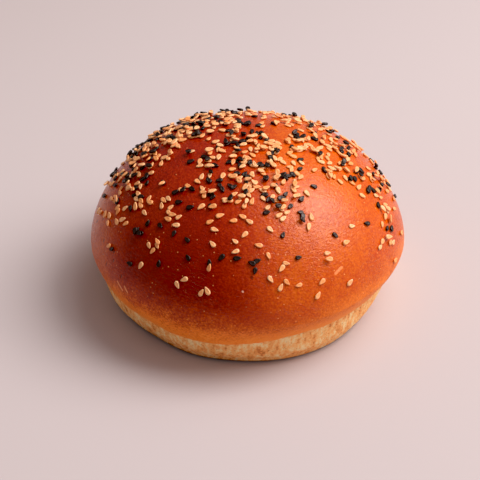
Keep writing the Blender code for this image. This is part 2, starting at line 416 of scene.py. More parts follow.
# %% [markdown]
# The bread shows three skins. Glazed crust covers the dome: egg wash browns to a deep red on the front
# left, partly where the oven's heat reached it longest and partly as painted shade. It stays orange on
# the right, partly as painted light, and gold towards the rim. Below the rim the band is pale crumb. The
# underside is matt and toasted.
#
# The browning is a number from 0 to 1. It climbs with the height above the rim, more slowly on the
# right, until it meets the most that this side of the bun has browned. These side terms are partly real
# browning and partly painted light and shade: the slower climb and the paler right side and left edge
# are painted light, and the deeper front is painted shade. Patches, mottles and grains from noise break
# it up, because egg wash is brushed on unevenly. weighed() adds such patterns to a number, each with its
# own share.

# %% Colours of the crust
BROWN_PER_MM = 0.054  # how much browner the crust gets with each millimetre above the rim
# SLOWER_ON_RIGHT, LESS_ON_RIGHT and LESS_ON_LEFT are partly painted light that pales the right side and
# the left edge; MORE_IN_FRONT is partly painted shade that deepens the front.
SLOWER_ON_RIGHT = -0.35
BROWN_MOST = 0.86
LESS_ON_RIGHT = -0.37
LESS_ON_LEFT = -0.40
MORE_IN_FRONT = 0.20
RIGHT_SIDE = (-20 * MM, 17 * MM)  # where the right side's lighter crust starts and is complete
SLOW_SIDE = (8 * MM, 44 * MM)
LEFT_SIDE = (-38 * MM, -52 * MM)
FRONT_SIDE = (-18 * MM, -46 * MM)
SOFT_MEETING = 0.15  # how softly the climb meets the most
CLIMB_PATTERN = {"mottles": 4.0}
MOST_PATTERN = {"patches": 0.22}
BROWN_PATTERN = {"mottles": 0.28, "grains": 1.0}
CRUST_STOPS = (
    (0.0, (1.0, 0.30, 0.045)),
    (0.15, (0.97, 0.25, 0.030)),
    (0.27, (0.87, 0.20, 0.022)),
    (0.40, (0.70, 0.130, 0.010)),
    (0.55, (0.53, 0.062, 0.006)),
    (0.70, (0.41, 0.032, 0.005)),
    (0.85, (0.325, 0.017, 0.004)),
    (1.0, (0.25, 0.010, 0.004)),
)


def weighed(tree, start, patterns, pattern_shares):
    """A number, plus each pattern's share."""
    parts = [scaled(tree, patterns[name], share) for name, share in pattern_shares.items()]
    return total(tree, start, *parts)


def most_browned(tree, place, patterns):
    """How far the crust on this side has browned at its brownest, with painted light that pales the
    right side and the left edge and painted shade that deepens the front.
    """
    on_right = fade(tree, place["X"], *RIGHT_SIDE)
    right = scaled(tree, on_right, LESS_ON_RIGHT)
    left = scaled(tree, fade(tree, place["X"], *LEFT_SIDE), LESS_ON_LEFT)
    front = scaled(tree, fade(tree, place["Y"], *FRONT_SIDE), MORE_IN_FRONT)
    front = scaled(tree, front, maths(tree, "SUBTRACT", 1.0, on_right))
    return total(tree, weighed(tree, BROWN_MOST, patterns, MOST_PATTERN), right, left, front)


def browning(tree, place, above, patterns):
    """How far the crust has browned, from 0 at the pale rim to 1, with painted light and shade by side.
    """
    most = most_browned(tree, place, patterns)
    # The slower climb on the right is painted light: it keeps the lower crust there pale where it turns
    # under, away from the lamps.
    slower = scaled(tree, fade(tree, place["X"], *SLOW_SIDE), SLOWER_ON_RIGHT)
    rising = scaled(tree, weighed(tree, above, patterns, CLIMB_PATTERN), BROWN_PER_MM)
    meeting = {0: scaled(tree, rising, total(tree, slower, 1.0)), 1: most, 2: SOFT_MEETING}
    least = add(tree, "ShaderNodeMath", meeting, operation="SMOOTH_MIN").outputs[0]
    return total(tree, least, scaled(tree, weighed(tree, 0.0, patterns, BROWN_PATTERN), most))


print("the crust has", len(CRUST_STOPS), "colours")

# %% [markdown]
# Set glaze isn't smooth. It dries into fine wrinkles that run level round the dome, and it cracks along
# thin lines. It traps tiny bubbles that stand up as specks, painted lighter: partly the bubbles' own
# colour and partly painted highlight. All of them are far finer than the mesh, so they are bumps in the
# finish.
#
# The left side rose against its neighbour and tore a little when they were pulled apart. It has short,
# upright pits, painted dark inside as painted shade. A few larger marks are placed one by one: two
# scratches on the left, a rubbed patch on the right, and a dark crumb and a burst bubble in front.

# %% Wrinkles, specks and marks of the glaze
WRINKLE_SIZE = 1.3 * MM
CRACK_SIZE = 4.0 * MM
CRACK_WIDTH = 0.03
CRACK_DEPTH = -0.35
CRACKED = (-0.10, 0.12)  # the patches' values where the cracks start to show and show fully
SPECK_GAP = 2.3 * MM
SPECK_RADIUS = 0.13
SPECKLED = (-0.10, 0.03)
PIT_GAP = 3.4 * MM
PIT_RADIUS = 0.17
PITTED = (-36 * MM, -46 * MM)  # where the pits on the left side start and are at their deepest
# Each mark: start and end in millimetres, half its width, colour
MARKS = (
    ((-45.6, -33.8, 25.4), (-43.8, -36.6, 23.6), 0.45, (1.0, 0.42, 0.18)),
    ((-43.0, -36.9, 25.6), (-41.9, -38.5, 24.2), 0.45, (1.0, 0.42, 0.18)),
    ((30.6, -42.0, 35.4), (32.7, -39.7, 36.3), 0.75, (1.0, 0.32, 0.12)),
    ((1.5, -49.9, 39.6), (1.7, -50.0, 39.4), 0.75, (0.14, 0.010, 0.004)),
    ((-1.5, -52.6, 35.6), (-1.4, -52.7, 35.5), 0.45, (1.0, 0.60, 0.45)),
)


def glaze_wrinkles(tree, where, patches):
    """Fine wrinkles, longer round the dome than down it, and thin cracks in some patches."""
    level = stretched(tree, where, (1.0, 1.0, 2.4))
    from_line = maths(tree, "ABSOLUTE", noise(tree, level, CRACK_SIZE, 4.0, seed=6.0))
    cracks = scaled(tree, fade(tree, from_line, CRACK_WIDTH, 0.0), fade(tree, patches, *CRACKED))
    wrinkles = noise(tree, level, WRINKLE_SIZE, 4.0, seed=5.0)
    return total(tree, wrinkles, scaled(tree, cracks, CRACK_DEPTH))


def dots(tree, where, gap, radius):
    """1 in the middle of loosely scattered dots, and 0 between them."""
    cells = {"Vector": where, "Scale": 1.0 / gap, "Randomness": 1.0}
    distance = add(tree, "ShaderNodeTexVoronoi", cells).outputs["Distance"]
    return fade(tree, distance, radius, 0.5 * radius)


def glaze_specks(tree, where, mottles):
    """1 on tiny bubbles in the glaze, in loose groups, and 0 elsewhere."""
    return scaled(tree, dots(tree, where, SPECK_GAP, SPECK_RADIUS), fade(tree, mottles, *SPECKLED))


def torn_pits(tree, where):
    """1 in the upright pits of the left side."""
    pits = dots(tree, stretched(tree, where, (1.0, 1.0, 0.4)), PIT_GAP, PIT_RADIUS)
    return scaled(tree, pits, fade(tree, axes(tree, where)["X"], *PITTED))


def near_line(tree, where, start, end, radius):
    """1 on the straight line between two places, and 0 further from it than the radius."""
    along = end - start
    offset = vector_maths(tree, "SUBTRACT", where, start)
    share = vector_maths(tree, "DOT_PRODUCT", offset, along / along.length_squared)
    share = add(tree, "ShaderNodeClamp", {"Value": share}).outputs[0]
    distance = vector_maths(tree, "DISTANCE", offset, lengthened(tree, along, share))
    return fade(tree, distance, radius, 0.4 * radius)


print("specks stand about", round(SPECK_GAP / MM, 1), "mm apart")

# %% [markdown]
# The band never met the glaze or the full heat. It is torn crumb: pale threads that run up and down, and
# tan hollows between them. The underside has a darker ring where it met the tray. The heel is painted
# dark in front and on the left: painted shadow where the bun meets the floor on its shaded side.
#
# Colour, gloss and bumps have to agree: a speck is lighter and also stands up. So every pattern is
# made once, and all of them read it.

# %% Colour of the bread
PORE_SHARE = 0.4
BAND_LINE = (0.0, -0.45)  # millimetres above the rim where the crust ends and the band begins
BAND_LINE_PATTERN = {"mottles": 1.6, "grains": 0.8}
OVER_BAND = (-34 * MM, -52 * MM)  # where the crust's colour starts to run over the band, and by 1 mm
BAND_STOPS = (
    (0.22, (0.66, 0.22, 0.065)),
    (0.40, (0.96, 0.40, 0.125)),
    (0.56, (1.0, 0.54, 0.21)),
    (0.75, (1.0, 0.72, 0.38)),
)
BAND_TONE = 0.52
BAND_PATTERN = {"threads": 1.3, "mottles": 0.8, "crumbs": 0.7}
UNDERSIDE_STOPS = ((0.3, (0.50, 0.25, 0.10)), (0.6, (0.62, 0.36, 0.16)), (0.8, (0.40, 0.17, 0.06)))
UNDERSIDE_TOP = (1.2 * MM, 0.2 * MM)
RING_RADIUS = 1.25 * FOOT_RADIUS
RING_PATTERN = {"patches": 0.6, "mottles": 0.4}
# The pits' dark colour is painted shade inside them.
# The specks' lighter colour is partly painted highlight on the bubbles.
# What covers the crust's colour: the pattern's name, its share, its colour
CRUST_SPOTS = (("specks", 0.7, (1.0, 0.42, 0.14)), ("pits", 0.8, (0.16, 0.020, 0.008)))
MARK_SHARE = 0.75
# The pores are painted darker: painted shade inside them.
PORE_SHADE_COLOUR = (0.40, 0.13, 0.035)
# The heel's dark colour is painted shadow where the bun meets the floor on its shaded front and left.
HEEL_SHADOW_COLOUR = (0.15, 0.028, 0.006)
HEEL_TOP = (1.8 * MM, 0.9 * MM)
HEEL_REACH = (42 * MM, 45 * MM)
HEEL_SIDE = (24 * MM, -8 * MM)


def bread_patterns(tree, where):
    """Every pattern of the bread, by name."""
    mottles = noise(tree, where, 4.5 * MM, 4.0, seed=2.0)
    return {
        "patches": noise(tree, where, 26 * MM, 3.0, seed=1.0),
        "mottles": mottles,
        "grains": noise(tree, where, 0.7 * MM, 3.0, seed=3.0),
        "threads": noise(tree, stretched(tree, where, (1.0, 1.0, 0.25)), 1.5 * MM, seed=4.0),
        "crumbs": noise(tree, where, 0.8 * MM, 3.0, seed=8.0),
        "specks": glaze_specks(tree, where, mottles),
        "pits": torn_pits(tree, where),
        "pores": scaled(tree, dots(tree, where, 1.5 * MM, 0.22), PORE_SHARE),
    }


def tinted(tree, share, under, colour):
    """The colour where the share is 1, and what is under it where the share is 0."""
    return blended(tree, share, under, (*colour, 1.0))


def crust_colour(tree, where, place, above, patterns):
    """The browned crust, with its specks, pits and marks."""
    result = colours(tree, browning(tree, place, above, patterns), CRUST_STOPS)
    for name, share, colour in CRUST_SPOTS:
        result = tinted(tree, scaled(tree, patterns[name], share), result, colour)
    for start, end, radius, colour in MARKS:
        mark = near_line(tree, where, Vector(start) * MM, Vector(end) * MM, radius * MM)
        result = tinted(tree, scaled(tree, mark, MARK_SHARE), result, colour)
    return result


def band_colour(tree, patterns):
    """Torn crumb, with painted shade in its pores."""
    torn = colours(tree, weighed(tree, BAND_TONE, patterns, BAND_PATTERN), BAND_STOPS)
    return tinted(tree, patterns["pores"], torn, PORE_SHADE_COLOUR)


def underside_colour(tree, reach, patterns):
    """Baked crumb, with a darker ring where it met the tray."""
    ring = maths(tree, "DIVIDE", reach, RING_RADIUS)
    return colours(tree, weighed(tree, ring, patterns, RING_PATTERN), UNDERSIDE_STOPS)


def on_band(tree, place, above, patterns):
    """0 on the crust and 1 on the band, with a ragged edge between them."""
    ragged = weighed(tree, above, patterns, BAND_LINE_PATTERN)
    return fade(tree, total(tree, ragged, fade(tree, place["X"], *OVER_BAND)), *BAND_LINE)


def toasted_heel(tree, place, reach):
    """1 on the low outer heel in front and on the left, where painted shadow darkens it, and 0
    elsewhere.
    """
    low = fade(tree, place["Z"], *HEEL_TOP)
    outer = fade(tree, reach, *HEEL_REACH)
    left = fade(tree, place["X"], *HEEL_SIDE)
    return scaled(tree, scaled(tree, low, outer), left)


def bread_colour(tree, where, above, is_band, patterns):
    """The colour of each skin in its place."""
    place = axes(tree, where)
    reach = vector_maths(tree, "LENGTH", stretched(tree, where, (1.0, 1.0, 0.0)))
    crust_here = crust_colour(tree, where, place, above, patterns)
    sides = blended(tree, is_band, crust_here, band_colour(tree, patterns))
    is_underside = fade(tree, place["Z"], *UNDERSIDE_TOP)
    skins = blended(tree, is_underside, sides, underside_colour(tree, reach, patterns))
    # Painted shadow darkens the heel in front and on the left, where the bun meets the floor.
    return tinted(tree, toasted_heel(tree, place, reach), skins, HEEL_SHADOW_COLOUR)


print("the band has", len(BAND_STOPS), "colours")

# %% [markdown]
# One material holds all three skins, because they are one piece of bread and fade into each other.
# The glaze is glossy on the dome, thins towards the rim and is missing from the band.

# %% Finish of the bread
GLAZE_TINT = (1.0, 0.92, 0.84)
GLAZE_REFRACTION = 1.41
GLAZE_ROUGHNESS = 0.25
BAND_ROUGHNESS = 0.85
DULL_BELOW = (16.0, 2.0)  # millimetres above the rim where the glaze starts to thin and has gone
THIN_GLAZE_ROUGHNESS = 0.3  # how much the roughness grows where the glaze is thin
GLOSS_PATTERN = {"grains": 0.12}
BUMP_DEPTH = 0.19 * MM
GLAZE_BUMPS = {"grains": 0.5, "specks": 0.3, "pits": -0.8}
BAND_BUMPS = {"crumbs": 1.6, "pores": -1.0}


def bread_roughness(tree, above, is_band, patterns):
    """Low on the glaze, higher where it thins, and highest on the band."""
    thin = scaled(tree, fade(tree, above, *DULL_BELOW), THIN_GLAZE_ROUGHNESS)
    dull = scaled(tree, is_band, BAND_ROUGHNESS - GLAZE_ROUGHNESS - THIN_GLAZE_ROUGHNESS)
    return total(tree, weighed(tree, GLAZE_ROUGHNESS, patterns, GLOSS_PATTERN), thin, dull)


def bread_bumps(tree, where, is_band, patterns):
    """Wrinkled, speckled and pitted glaze, and open crumb on the band."""
    glaze = weighed(tree, glaze_wrinkles(tree, where, patterns["patches"]), patterns, GLAZE_BUMPS)
    return total(tree, glaze, scaled(tree, weighed(tree, 0.0, patterns, BAND_BUMPS), is_band))


def bread_finish():
    """The glazed crust, the pale band and the baked underside."""
    material, tree, surface, where = new_finish("baked_bread")
    above = own_number(tree, "above_rim")
    patterns = bread_patterns(tree, where)
    is_band = on_band(tree, axes(tree, where), above, patterns)
    feed(tree, surface.inputs["Base Color"], bread_colour(tree, where, above, is_band, patterns))
    feed(tree, surface.inputs["Roughness"], bread_roughness(tree, above, is_band, patterns))
    surface.inputs["IOR"].default_value = GLAZE_REFRACTION
    surface.inputs["Specular Tint"].default_value = (*GLAZE_TINT, 1.0)
    bumps(tree, surface, bread_bumps(tree, where, is_band, patterns), BUMP_DEPTH)
    return material


baked_bread = bread_finish()
print("made", baked_bread.name)

# %% [markdown]
# Real bread skin is never smooth. The dome has broad soft swells and, closer, the fine orange-peel
# dimples of a set glaze. The band is torn crumb: fibres that run up and down, and open pores. The
# crease between them is deep in places and almost closed in others.
#
# The tree below moves every point along its normal by the sum of those reliefs. Shader bumps alone
# would leave the outline too clean.

# %% Relief of the bread
# Where a fade starts and ends, in millimetres above the rim
BAND_RELIEF = (0.0, -1.0)
CREASE_TOP = (0.1, -0.5)
CREASE_FOOT = (-1.7, -0.6)
# Where a fade starts and ends, in the values of a noise
GAPING = (-0.05, 0.2)
OPEN_CRUMB = (-0.02, 0.12)
GAPING_SIZE = 9 * MM
DRAWN_FIBRES = (1.0, 1.0, 0.35)
PORE_EDGE = (0.28, 0.10)  # where a pore starts and is fully deep, from its middle


def torn_crumb(tree, where, given):
    """Fibres that run up and down, and pores where the crumb is open."""
    seed = given["Random seed"]
    fibres = noise(tree, stretched(tree, where, DRAWN_FIBRES), given["Fibre size"], 3.0, seed)
    scale = maths(tree, "DIVIDE", 1.0, given["Pore size"])
    cells = add(tree, "ShaderNodeTexVoronoi", {"Vector": where, "Scale": scale}).outputs["Distance"]
    pores = scaled(tree, fade(tree, cells, *PORE_EDGE), given["Pore depth"])
    open_here = fade(tree, noise(tree, where, given["Swell size"], 2.0, seed), *OPEN_CRUMB)
    threads = scaled(tree, fibres, given["Fibre depth"])
    return maths(tree, "SUBTRACT", threads, scaled(tree, pores, open_here))


def rim_crease(tree, where, above, given):
    """How deep the crease under the rim is here."""
    inside = scaled(tree, fade(tree, above, *CREASE_TOP), fade(tree, above, *CREASE_FOOT))
    gaping = fade(tree, noise(tree, where, GAPING_SIZE, 2.0, given["Random seed"]), *GAPING)
    return scaled(tree, scaled(tree, inside, gaping), given["Crease depth"])


def bread_relief():
    """The tree that raises and lowers the bread's skin."""
    sizes = {
        "Swell height": 0.30 * MM,
        "Swell size": 20 * MM,
        "Dimple depth": 0.07 * MM,
        "Dimple size": 3.2 * MM,
        "Crease depth": 0.9 * MM,
        "Fibre depth": 0.35 * MM,
        "Fibre size": 1.7 * MM,
        "Pore depth": 0.5 * MM,
        "Pore size": 2.2 * MM,
        "Foot fade": 1.5 * MM,
        "Random seed": 0,
        "Finish": "Material",
    }
    tree, given, result = new_tree("bread relief", sizes)
    where = tree.nodes.new("GeometryNodeInputPosition").outputs[0]
    outward = tree.nodes.new("GeometryNodeInputNormal").outputs[0]
    above = named(tree, "above_rim")
    seed = given["Random seed"]
    swells = noise(tree, where, given["Swell size"], 1.0, seed)
    swells = scaled(tree, swells, given["Swell height"])
    dimples = noise(tree, where, given["Dimple size"], 2.0, seed)
    dimples = scaled(tree, dimples, given["Dimple depth"])
    crumb = scaled(tree, torn_crumb(tree, where, given), fade(tree, above, *BAND_RELIEF))
    raised = total(tree, swells, dimples, crumb)
    relief = maths(tree, "SUBTRACT", raised, rim_crease(tree, where, above, given))
    off_foot = fade(tree, axes(tree, where)["Z"], 0.0, given["Foot fade"])
    offset = lengthened(tree, outward, scaled(tree, relief, off_foot))
    bread = {"Geometry": given["Geometry"], "Offset": offset}
    bread = add(tree, "GeometryNodeSetPosition", bread).outputs[0]
    bread = add(tree, "GeometryNodeRealizeInstances", {0: bread}).outputs[0]
    bread = {"Geometry": bread, "Material": given["Finish"]}
    tree.links.new(add(tree, "GeometryNodeSetMaterial", bread).outputs[0], result["Geometry"])
    return tree


grow(crust, bread_relief(), {"Random seed": 7, "Finish": baked_bread})
crust.data.shade_smooth()
print("the crust has", sum(len(face.vertices) - 2 for face in crust.data.polygons), "triangles")

# %% [markdown]
# Sesame falls in a loose heap on the crown and scatters down the sides. The sprinkle is a list of
# clumps, each a Gaussian cloud with its own share of black seeds. It leaves a few bare spots, and a
# few seeds have rolled to the front. A seed that lands on another lies on top of it, in a second
# layer. The draws are seeded, so the same seeds fall every time, where the solid has them fused.

# %% Sprinkle the seeds
SEED_SIZES = (0.88, 1.12)
STACKED_WITHIN = 1.45 * MM
SPRINKLE_REACH = 54.0
CLUMPS = (
    (0.0, 20.0, 27.0, 20.0, 300, 0.26),
    (-35.0, 10.0, 9.0, 9.0, 125, 0.36),
    (-41.0, -6.0, 6.0, 7.0, 56, 0.28),
    (-20.0, 13.0, 8.0, 6.0, 56, 0.28),
    (-8.0, 24.0, 7.0, 6.0, 38, 0.30),
    (-25.0, 29.0, 9.0, 8.0, 42, 0.42),
    (3.0, -1.0, 7.0, 6.0, 42, 0.36),
    (5.0, -17.0, 7.5, 5.5, 70, 0.26),
    (3.0, -27.0, 10.0, 5.0, 34, 0.28),
    (15.0, -31.0, 5.0, 4.0, 18, 0.14),
    (-14.0, -9.0, 9.0, 6.0, 36, 0.42),
    (-26.0, -27.0, 12.0, 8.0, 60, 0.38),
    (17.0, -9.0, 6.0, 6.0, 16, 0.40),
    (30.0, 3.0, 7.0, 8.0, 58, 0.24),
    (38.0, -9.0, 6.0, 4.0, 20, 0.20),
    (47.0, 4.0, 4.0, 9.0, 48, 0.18),
    (33.0, 24.0, 10.0, 8.0, 50, 0.12),
)
BARE_SPOTS = (
    (-26.0, -11.0, 4.5),
    (11.0, 9.0, 4.0),
    (-18.0, 0.5, 4.0),
    (31.0, -23.0, 8.0),
    (1.0, 19.0, 4.0),
    (43.0, 10.0, 3.5),
)
PALE_STRAYS = (
    (-23.8, -47.4, 265), (-15.5, -51.0, 60), (-13.5, -51.1, 95), (-11.8, -41.0, 120), (-4.0, -43.8, 205),
    (3.9, -42.2, 165), (7.3, -44.7, 290), (8.0, -49.8, 300), (11.5, -50.9, 85), (11.8, -47.1, 250),
    (13.4, -45.7, 350), (13.6, -49.6, 310), (17.8, -49.3, 210), (24.5, -49.0, 95), (25.9, -46.2, 250),
    (27.9, -39.3, 15), (28.0, -40.7, 185), (34.6, -33.2, 30), (36.0, -41.4, 95), (-36.6, -37.7, 220),
    (-33.8, -34.4, 265), (-30.9, -35.9, 270), (47.6, -22.9, 265), (46.9, -25.1, 75), (36.7, -27.2, 15),
    (50.7, -19.3, 95), (51.8, -17.7, 100), (52.7, -20.6, 80), (55.1, -8.3, 85), (48.8, -12.8, 280),
    (50.6, -11.9, 250), (48.9, -7.5, 30),
)
BLACK_STRAYS = (
    (-30.2, -40.6, 60), (-40.6, -34.6, 140), (-20.1, -42.8, 100), (-12.8, -45.5, 85), (-8.7, -44.9, 230),
    (-3.3, -45.5, 10), (1.6, -46.7, 150), (3.5, -46.1, 30), (2.7, -48.4, 265), (17.7, -43.5, 20),
    (30.7, -33.3, 330), (49.5, -16.3, 100), (51.1, -14.2, 110), (46.2, -11.0, 120),
)
SPRINKLE_SEED = 11


def is_bare(x, y):
    """Whether the sprinkle missed this place, in millimetres."""
    outside = math.hypot(x, y) > SPRINKLE_REACH
    return outside or any(math.hypot(x - bx, y - by) < radius for bx, by, radius in BARE_SPOTS)


def sprinkled():
    """Every seed as (x, y, heading, size, is black, layer), the strays first and then the sprinkle."""
    draw = random.Random(SPRINKLE_SEED)
    low, high = SEED_SIZES
    seeds = []
    for strays, black in ((PALE_STRAYS, False), (BLACK_STRAYS, True)):
        for x, y, heading in strays:
            seeds.append((x * MM, y * MM, math.radians(heading), draw.uniform(low, high), black))
    fallen = []
    for number, (centre_x, centre_y, spread_x, spread_y, count, black_share) in enumerate(CLUMPS):
        draw = random.Random(SPRINKLE_SEED + number)
        for _ in range(count):
            x = draw.gauss(centre_x, spread_x)
            y = draw.gauss(centre_y, spread_y)
            heading = draw.uniform(0.0, 2.0 * math.pi)
            size = draw.uniform(low, high)
            black = draw.random() < black_share
            if not is_bare(x, y):
                fallen.append((x * MM, y * MM, heading, size, black))
    draw.shuffle(fallen)
    layered = []
    for seed in seeds + fallen:
        below = [other[5] for other in layered if math.dist(seed[:2], other[:2]) < STACKED_WITHIN]
        layered.append((*seed, 1 + max(below) if below else 0))
    return [seed for seed in layered if seed[5] < 2]


sprinkle = sprinkled()
print(len(sprinkle), "seeds fell, and", sum(seed[5] for seed in sprinkle), "of them lie on others")

# %% [markdown]
# A sesame seed is a flat teardrop. Its face is a shallow dish inside a raised edge. A sphere of six
# rings becomes one: the outline is drawn to a tip, and the rings of the upper half are set to the
# heights of the dish and its edge. The mesh is one unit long, wide and thick, so that the sizes can
# be inputs of the tree that lays the seeds.
#
# Each point also notes how near the middle of the face it is. The finish is darker there.

# %% Shape of one seed
SEED_SIDES = 12
SEED_RINGS = 6
TIP_DRAW = 0.5
DISH_HEIGHT = 0.30
EDGE_RAISED = 0.22
EDGE_STEEPNESS = 4
BELLY_FLATNESS = 0.8


def seed_shape():
    """One seed about its own middle, one unit long, wide and thick, its tip along +X."""
    shape = bmesh.new()
    bmesh.ops.create_uvsphere(shape, u_segments=SEED_SIDES, v_segments=SEED_RINGS, radius=0.5)
    middle = shape.verts.layers.float.new("face_middle")
    for vert in shape.verts:
        reach = 2.0 * math.hypot(vert.co.x, vert.co.y)
        vert.co.y *= 1.0 - TIP_DRAW * 2.0 * vert.co.x
        if vert.co.z > 0.01:
            vert[middle] = max(0.0, 1.0 - reach)
            vert.co.z = DISH_HEIGHT + EDGE_RAISED * reach**EDGE_STEEPNESS
        else:
            vert.co.z *= BELLY_FLATNESS
    mesh = bpy.data.meshes.new("seed_shape")
    shape.to_mesh(mesh)
    shape.free()
    return bpy.data.objects.new("seed_shape", mesh)


one_seed = seed_shape()
print("one seed has", len(one_seed.data.polygons), "faces")

# %% [markdown]
# Toasted white sesame is waxy and warm: cream at the raised edge, more orange on its hollow face,
# and no two alike. Black sesame is nearly black with a grey sheen on its skin. Both read "tone", a
# random number that each seed gets when it is laid.

# %% Finishes of the seeds
PALE_TONES = ((0.0, (0.95, 0.38, 0.13)), (0.45, (0.99, 0.48, 0.21)), (1.0, (1.0, 0.60, 0.31)))
TOASTED_FACE = (0.92, 0.29, 0.08)
BLACK_TONES = ((0.0, (0.007, 0.003, 0.002)), (1.0, (0.022, 0.012, 0.011)))
BLACK_SHEEN = (1.0, 0.82, 0.80)
PALE_ROUGHNESS = 0.36
BLACK_ROUGHNESS = 0.34
TONE_GRAIN = 0.5
FACE_SHARE = 0.75
PALE_GRAIN = (0.6 * MM, 0.03 * MM)  # how wide and how deep
BLACK_GRAIN = (0.5 * MM, 0.08 * MM)


def pale_finish():
    """Toasted hulled sesame."""
    material, tree, surface, where = new_finish("pale_sesame")
    width, depth = PALE_GRAIN
    grain = noise(tree, where, width, seed=1.0)
    tone = total(tree, own_number(tree, "tone"), scaled(tree, grain, TONE_GRAIN))
    face = scaled(tree, own_number(tree, "face_middle"), FACE_SHARE)
    colour = tinted(tree, face, colours(tree, tone, PALE_TONES), TOASTED_FACE)
    feed(tree, surface.inputs["Base Color"], colour)
    surface.inputs["Roughness"].default_value = PALE_ROUGHNESS
    bumps(tree, surface, grain, depth)
    return material


def black_finish():
    """Black sesame, whose skin has a grey sheen."""
    material, tree, surface, where = new_finish("black_sesame")
    width, depth = BLACK_GRAIN
    grain = noise(tree, where, width, seed=1.0)
    tone = total(tree, own_number(tree, "tone"), grain)
    feed(tree, surface.inputs["Base Color"], colours(tree, tone, BLACK_TONES))
    surface.inputs["Roughness"].default_value = BLACK_ROUGHNESS
    surface.inputs["Specular Tint"].default_value = (*BLACK_SHEEN, 1.0)
    bumps(tree, surface, grain, depth)
    return material


pale_sesame = pale_finish()
black_sesame = black_finish()
print("made", pale_sesame.name, "and", black_sesame.name)

# %% [markdown]
# A second tree lays the seeds. It starts from loose points over the bun. Each point drops onto the
# nearest place of the real crust, takes the crust's normal, and gets a seed that lies flat along
# its own heading. A seed in the second layer is lifted by most of a thickness and leans more. The
# instances are made real at the end, as only real faces can be exported, and a little noise gives
# each seed its own lumps.

# %% The tree that lays seeds
LUMP_SIZE = 1.3 * MM


def crust_normal(tree, bread, where):
    """The way the crust faces at the place nearest to each point."""
    outward = tree.nodes.new("GeometryNodeInputNormal").outputs[0]
    sources = {"Mesh": bread, "Value": outward, "Sample Position": where}
    sampled = add(tree, "GeometryNodeSampleNearestSurface", sources, data_type="FLOAT_VECTOR")
    return sampled.outputs["Value"]


def placed_points(tree, given, bread, normal, size, layer):
    """The points on the crust, each raised to the middle of its seed."""
    nearest = add(tree, "GeometryNodeProximity", {0: bread}, target_element="FACES").outputs["Position"]
    lift = total(tree, scaled(tree, layer, given["Stacked lift"]), 0.5)
    lift = maths(tree, "SUBTRACT", lift, given["Sunk share"])
    lift = scaled(tree, scaled(tree, lift, size), given["Seed thickness"])
    offset = lengthened(tree, normal, lift)
    places = {"Geometry": given["Geometry"], "Position": nearest, "Offset": offset}
    return add(tree, "GeometryNodeSetPosition", places).outputs[0]


def seed_turn(tree, given, normal, layer):
    """How each seed is turned: flat along its heading, and leaning a little."""
    turn = {"Primary Axis": normal, "Secondary Axis": named(tree, "tip", "FLOAT_VECTOR")}
    flat = add(tree, "FunctionNodeAxesToRotation", turn, primary_axis="Z", secondary_axis="X").outputs[0]
    way = {"Min": (-1.0, -1.0, 0.0), "Max": (1.0, 1.0, 0.0), "Seed": given["Random seed"]}
    way = add(tree, "FunctionNodeRandomValue", way, data_type="FLOAT_VECTOR").outputs["Value"]
    lean = total(tree, given["Lean"], scaled(tree, layer, given["Stacked lean"]))
    leaning = add(tree, "FunctionNodeEulerToRotation", {0: lengthened(tree, way, lean)}).outputs[0]
    turn = {"Rotation": flat, "Rotate By": leaning}
    return add(tree, "FunctionNodeRotateRotation", turn, rotation_space="LOCAL").outputs[0]


def toned(tree, seeds, random_seed):
    """The seeds, each with its own tone."""
    tone = {"Min": 0.0, "Max": 1.0, "Seed": random_seed}
    tone = add(tree, "FunctionNodeRandomValue", tone, data_type="FLOAT").outputs[1]
    noted = {"Geometry": seeds, "Name": "tone", "Value": tone}
    noted = add(tree, "GeometryNodeStoreNamedAttribute", noted, data_type="FLOAT", domain="INSTANCE")
    return noted.outputs[0]


def seed_layer():
    """The tree that lays one seed on the crust at each point."""
    sizes = {
        "Crust": "Object",
        "Seed": "Object",
        "Seed length": 2.95 * MM,
        "Seed width": 1.50 * MM,
        "Seed thickness": 0.9 * MM,
        "Sunk share": 0.14,
        "Stacked lift": 0.8,
        "Lean": 0.10,
        "Stacked lean": 0.3,
        "Lumps": 0.08 * MM,
        "Random seed": 0,
        "Finish": "Material",
    }
    tree, given, result = new_tree("seed layer", sizes)
    bread = add(tree, "GeometryNodeObjectInfo", {"Object": given["Crust"]}).outputs["Geometry"]
    shape = add(tree, "GeometryNodeObjectInfo", {"Object": given["Seed"]}).outputs["Geometry"]
    where = tree.nodes.new("GeometryNodeInputPosition").outputs[0]
    outward = tree.nodes.new("GeometryNodeInputNormal").outputs[0]
    normal = crust_normal(tree, bread, where)
    size, layer = named(tree, "size"), named(tree, "layer")
    placed = placed_points(tree, given, bread, normal, size, layer)
    sides = {"X": given["Seed length"], "Y": given["Seed width"], "Z": given["Seed thickness"]}
    sides = lengthened(tree, add(tree, "ShaderNodeCombineXYZ", sides).outputs[0], size)
    turn = seed_turn(tree, given, normal, layer)
    seeds = {"Points": placed, "Instance": shape, "Rotation": turn, "Scale": sides}
    seeds = add(tree, "GeometryNodeInstanceOnPoints", seeds).outputs[0]
    seeds = {0: toned(tree, seeds, given["Random seed"])}
    seeds = add(tree, "GeometryNodeRealizeInstances", seeds).outputs[0]
    lumps = noise(tree, where, LUMP_SIZE, 1.0, given["Random seed"])
    lumps = lengthened(tree, outward, scaled(tree, lumps, given["Lumps"]))
    seeds = add(tree, "GeometryNodeSetPosition", {"Geometry": seeds, "Offset": lumps}).outputs[0]
    seeds = {"Geometry": seeds, "Material": given["Finish"]}
    tree.links.new(add(tree, "GeometryNodeSetMaterial", seeds).outputs[0], result["Geometry"])
    return tree


laying_tree = seed_layer()
print("the tree has", len(laying_tree.nodes), "nodes")

